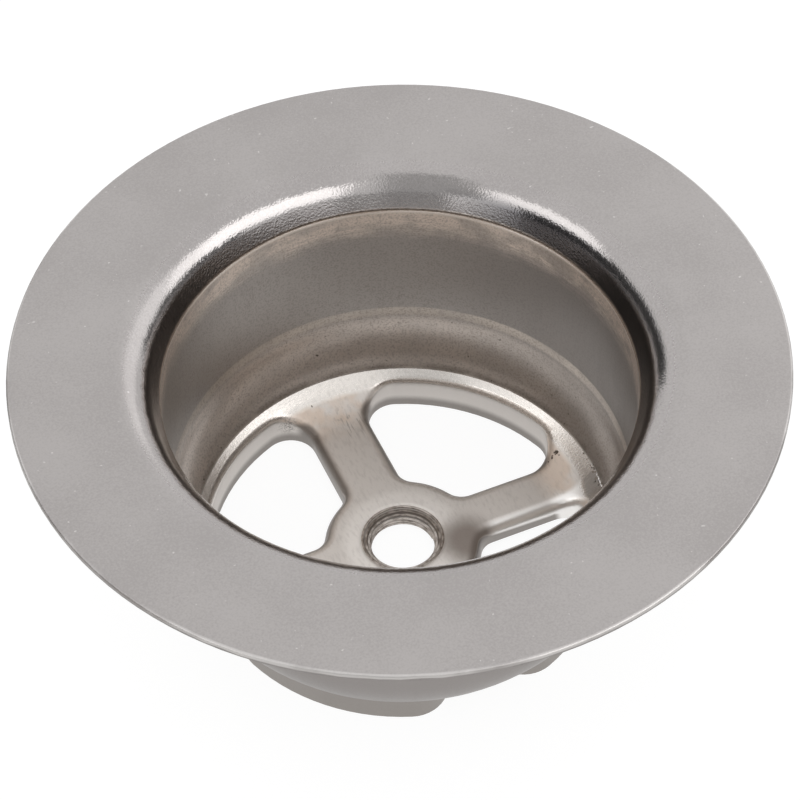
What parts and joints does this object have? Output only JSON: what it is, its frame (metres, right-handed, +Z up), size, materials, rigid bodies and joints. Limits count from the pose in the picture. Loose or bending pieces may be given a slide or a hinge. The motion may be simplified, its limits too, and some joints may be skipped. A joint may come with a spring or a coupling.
{
  "type": "sink waste cup",
  "caption": "Pressed steel sink waste cup with a wide flat flange, a drawn wall and a cross-spoked bottom with a threaded hub, for draining a sink into a trap.",
  "frame": {"origin": "on the cup's axis, level with the rims of the window lips that it stands on", "axes": "+Z up along the cup's axis towards the flange, X and Y along the spokes of the cross"},
  "size_m": [0.07, 0.07, 0.0288],
  "materials": {
    "pressed_steel": "satin, duller on the flange"
  },
  "bodies": {
    "root": {"waste_cup": "pressed_steel"}
  },
  "joints": []
}
